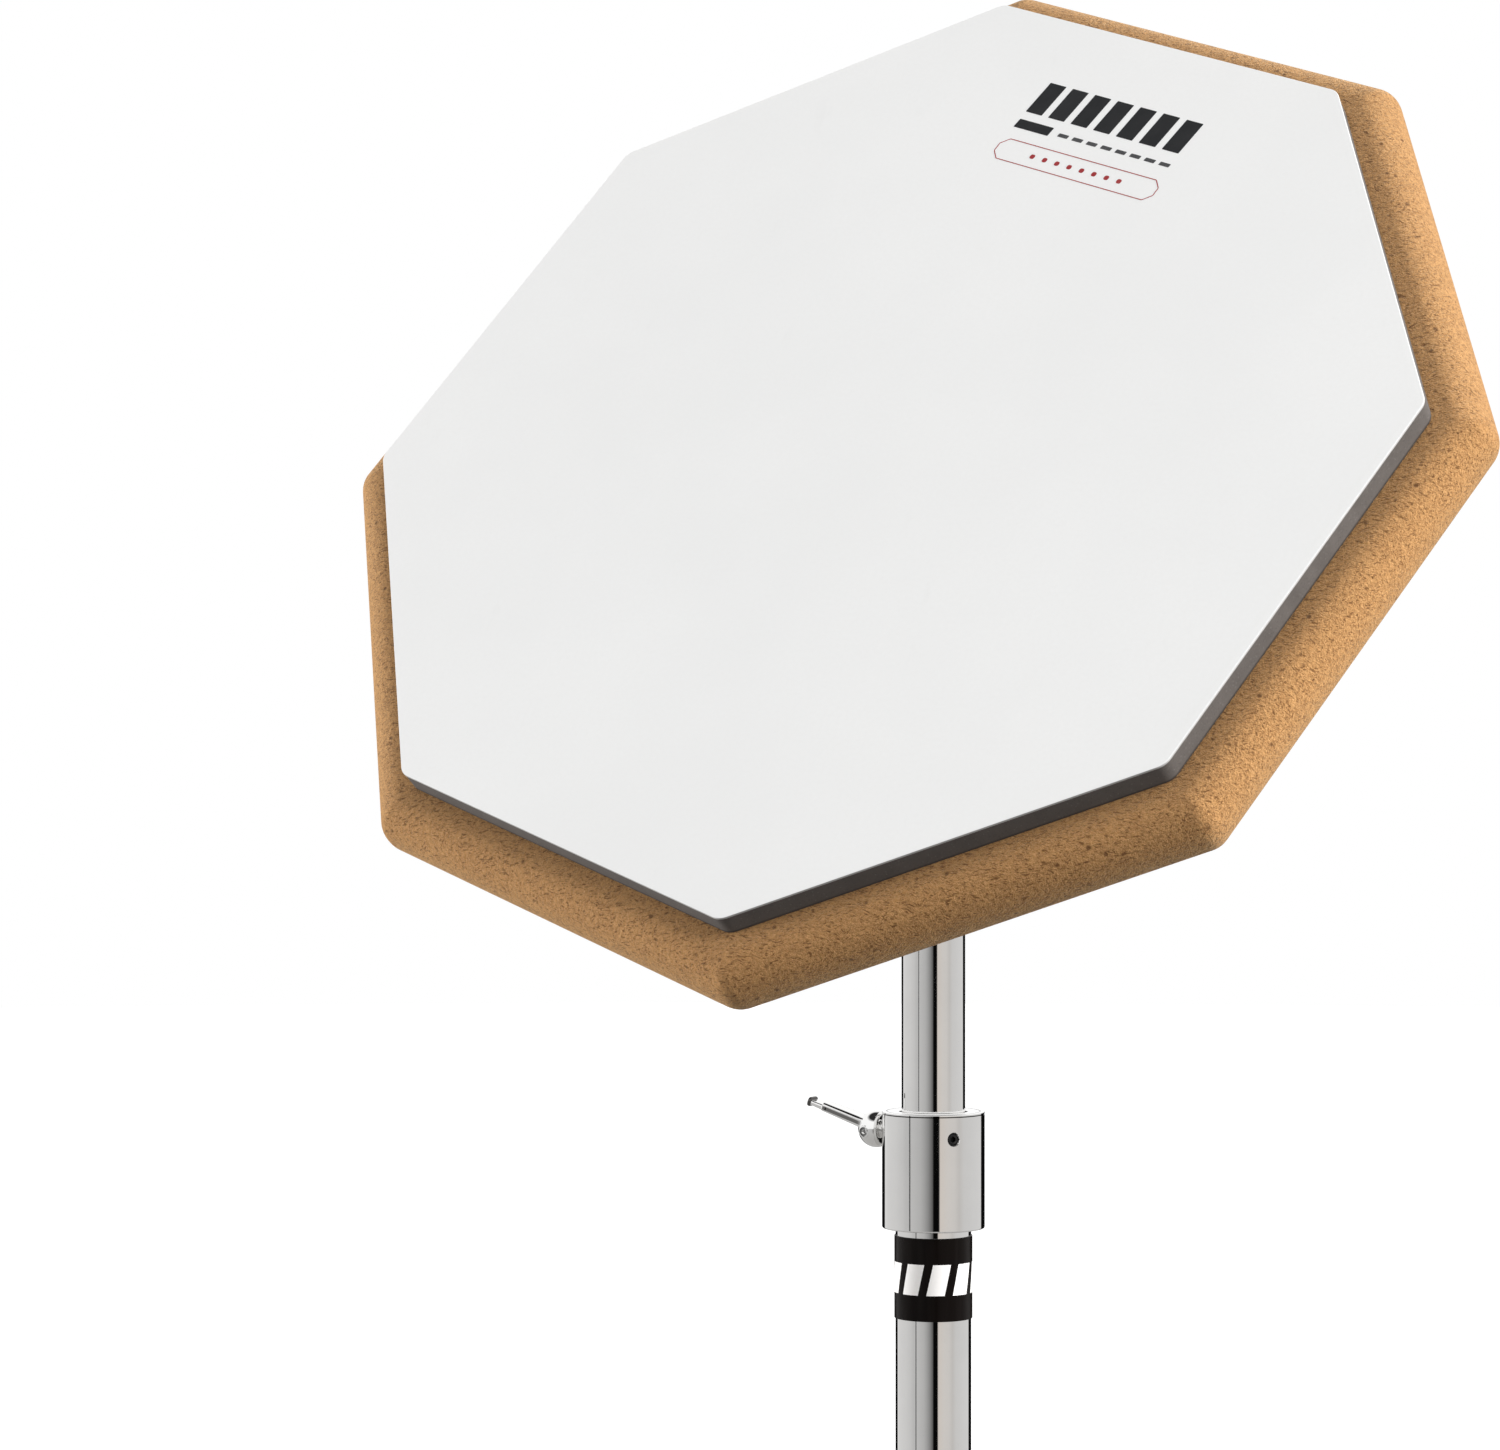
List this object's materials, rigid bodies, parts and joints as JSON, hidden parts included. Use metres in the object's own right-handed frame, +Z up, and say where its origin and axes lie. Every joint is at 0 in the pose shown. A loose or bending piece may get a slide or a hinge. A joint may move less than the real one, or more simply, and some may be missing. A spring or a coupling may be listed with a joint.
{
  "type": "practice pad",
  "caption": "Octagonal drum practice pad: coated rubber on a fibreboard base, tilting and turning on a height-adjustable chrome stand with a folding tripod.",
  "frame": {"origin": "on the floor, under the middle of the whole object's bounding box; the post stands on the line x = 0, y = 0.0771", "axes": "+Z up along the post; the pad leans towards -Y and its tilt axis is parallel to X; one leg points to -Y"},
  "size_m": [0.553, 0.4814, 0.8529],
  "materials": {
    "white_film": "matt white coating with a fine tooth",
    "grey_rubber": "matt dark grey sponge rubber, cut edge",
    "fibreboard": "bare routed fibreboard, fibrous with dark flecks",
    "chrome": "mirror chrome plate",
    "plated_casting": "chrome-plated casting, slightly soft",
    "zinc_steel": "bright zinc plate",
    "black_nylon": "moulded nylon",
    "black_label": "black film with a row of plain white bars",
    "black_oxide": "black oxide steel",
    "black_rubber": "moulded rubber"
  },
  "bodies": {
    "post": {"lower_tube": "chrome", "height_collar": "chrome", "guide_bush": "black_nylon", "collar_grub_screw": "black_oxide", "label_band": "black_label", "base_hub": "plated_casting", "brace_pin_1": "zinc_steel", "brace_pin_2": "zinc_steel", "brace_pin_3": "zinc_steel", "tube_end_plug": "black_nylon"},
    "upper_post": {"upper_tube": "chrome", "tube_glide": "black_nylon", "tilt_yoke": "plated_casting", "yoke_pin": "zinc_steel", "tilt_bolt": "chrome", "tilt_washer": "zinc_steel"},
    "tilt_head": {"tilt_knuckle": "plated_casting", "pad_stud": "zinc_steel", "lock_washer": "zinc_steel"},
    "lock_nut": {"lock_nut": "zinc_steel"},
    "pad": {"board": "fibreboard", "rubber_pad": "grey_rubber", "striking_film": "white_film", "threaded_flange": "zinc_steel", "flange_screw_1": "zinc_steel", "flange_screw_2": "zinc_steel", "flange_screw_3": "zinc_steel", "flange_screw_4": "zinc_steel"},
    "tilt_nut": {"tilt_wing_nut": "chrome"},
    "height_screw": {"height_thumb_screw": "chrome"},
    "leg_carrier": {"leg_hub": "plated_casting", "leg_pin_1": "zinc_steel", "leg_pin_2": "zinc_steel", "leg_pin_3": "zinc_steel"},
    "hub_screw": {"hub_thumb_screw": "chrome"},
    "leg_1": {"leg_1": "chrome", "foot_1": "black_rubber"},
    "brace_1": {"brace_1": "chrome", "link_rivet_1": "zinc_steel"},
    "leg_2": {"leg_2": "chrome", "foot_2": "black_rubber"},
    "brace_2": {"brace_2": "chrome", "link_rivet_2": "zinc_steel"},
    "leg_3": {"leg_3": "chrome", "foot_3": "black_rubber"},
    "brace_3": {"brace_3": "chrome", "link_rivet_3": "zinc_steel"}
  },
  "joints": [
    {"name": "height_slide", "type": "slide", "parent": "post", "child": "upper_post", "axis": [0, 0, 1], "range_m": [-0.105, 0.18]},
    {"name": "pad_tilt", "type": "hinge", "parent": "upper_post", "child": "tilt_head", "pos_m": [0, 0.07708, 0.7], "axis": [1, 0, 0], "range_deg": [-55, 30]},
    {"name": "pad_spin", "type": "hinge", "parent": "tilt_head", "child": "pad", "pos_m": [0, 0.07708, 0.7], "axis": [0, -0.8198, 0.5727], "continuous": true},
    {"name": "lock_nut_turn", "type": "hinge", "parent": "tilt_head", "child": "lock_nut", "pos_m": [0, 0.07708, 0.7], "axis": [0, 0.8198, -0.5727], "range_deg": [0, 360]},
    {"name": "tilt_nut_turn", "type": "hinge", "parent": "upper_post", "child": "tilt_nut", "pos_m": [0, 0.07708, 0.7], "axis": [1, 0, 0], "range_deg": [0, 540]},
    {"name": "height_screw_turn", "type": "hinge", "parent": "post", "child": "height_screw", "pos_m": [-0.017, 0.07708, 0.5405], "axis": [-1, 0, 0], "range_deg": [0, 540]},
    {"name": "leg_fold", "type": "slide", "parent": "post", "child": "leg_carrier", "axis": [0, 0, 1], "range_m": [0, 0.1175]},
    {"name": "hub_screw_turn", "type": "hinge", "parent": "leg_carrier", "child": "hub_screw", "pos_m": [0, 0.09578, 0.19717], "axis": [0, 1, 0], "range_deg": [0, 540]},
    {"name": "leg_1_swing", "type": "hinge", "parent": "leg_carrier", "child": "leg_1", "pos_m": [0, 0.05708, 0.18817], "axis": [1, 0, 0], "range_deg": [0, 58]},
    {"name": "brace_1_swing", "type": "hinge", "parent": "post", "child": "brace_1", "pos_m": [0, 0.05708, 0.05569], "axis": [-1, 0, 0], "range_deg": [0, 58]},
    {"name": "leg_2_swing", "type": "hinge", "parent": "leg_carrier", "child": "leg_2", "pos_m": [0.01732, 0.08708, 0.18817], "axis": [-0.5, 0.866, 0], "range_deg": [0, 58]},
    {"name": "brace_2_swing", "type": "hinge", "parent": "post", "child": "brace_2", "pos_m": [0.01732, 0.08708, 0.05569], "axis": [0.5, -0.866, 0], "range_deg": [0, 58]},
    {"name": "leg_3_swing", "type": "hinge", "parent": "leg_carrier", "child": "leg_3", "pos_m": [-0.01732, 0.08708, 0.18817], "axis": [-0.5, -0.866, 0], "range_deg": [0, 58]},
    {"name": "brace_3_swing", "type": "hinge", "parent": "post", "child": "brace_3", "pos_m": [-0.01732, 0.08708, 0.05569], "axis": [0.5, 0.866, 0], "range_deg": [0, 58]}
  ],
  "couplings": [
    {"joint": "leg_1_swing", "follows": "leg_fold", "rad_per_m": 8.6138},
    {"joint": "brace_1_swing", "follows": "leg_fold", "rad_per_m": 8.6138},
    {"joint": "leg_2_swing", "follows": "leg_fold", "rad_per_m": 8.6138},
    {"joint": "brace_2_swing", "follows": "leg_fold", "rad_per_m": 8.6138},
    {"joint": "leg_3_swing", "follows": "leg_fold", "rad_per_m": 8.6138},
    {"joint": "brace_3_swing", "follows": "leg_fold", "rad_per_m": 8.6138}
  ]
}
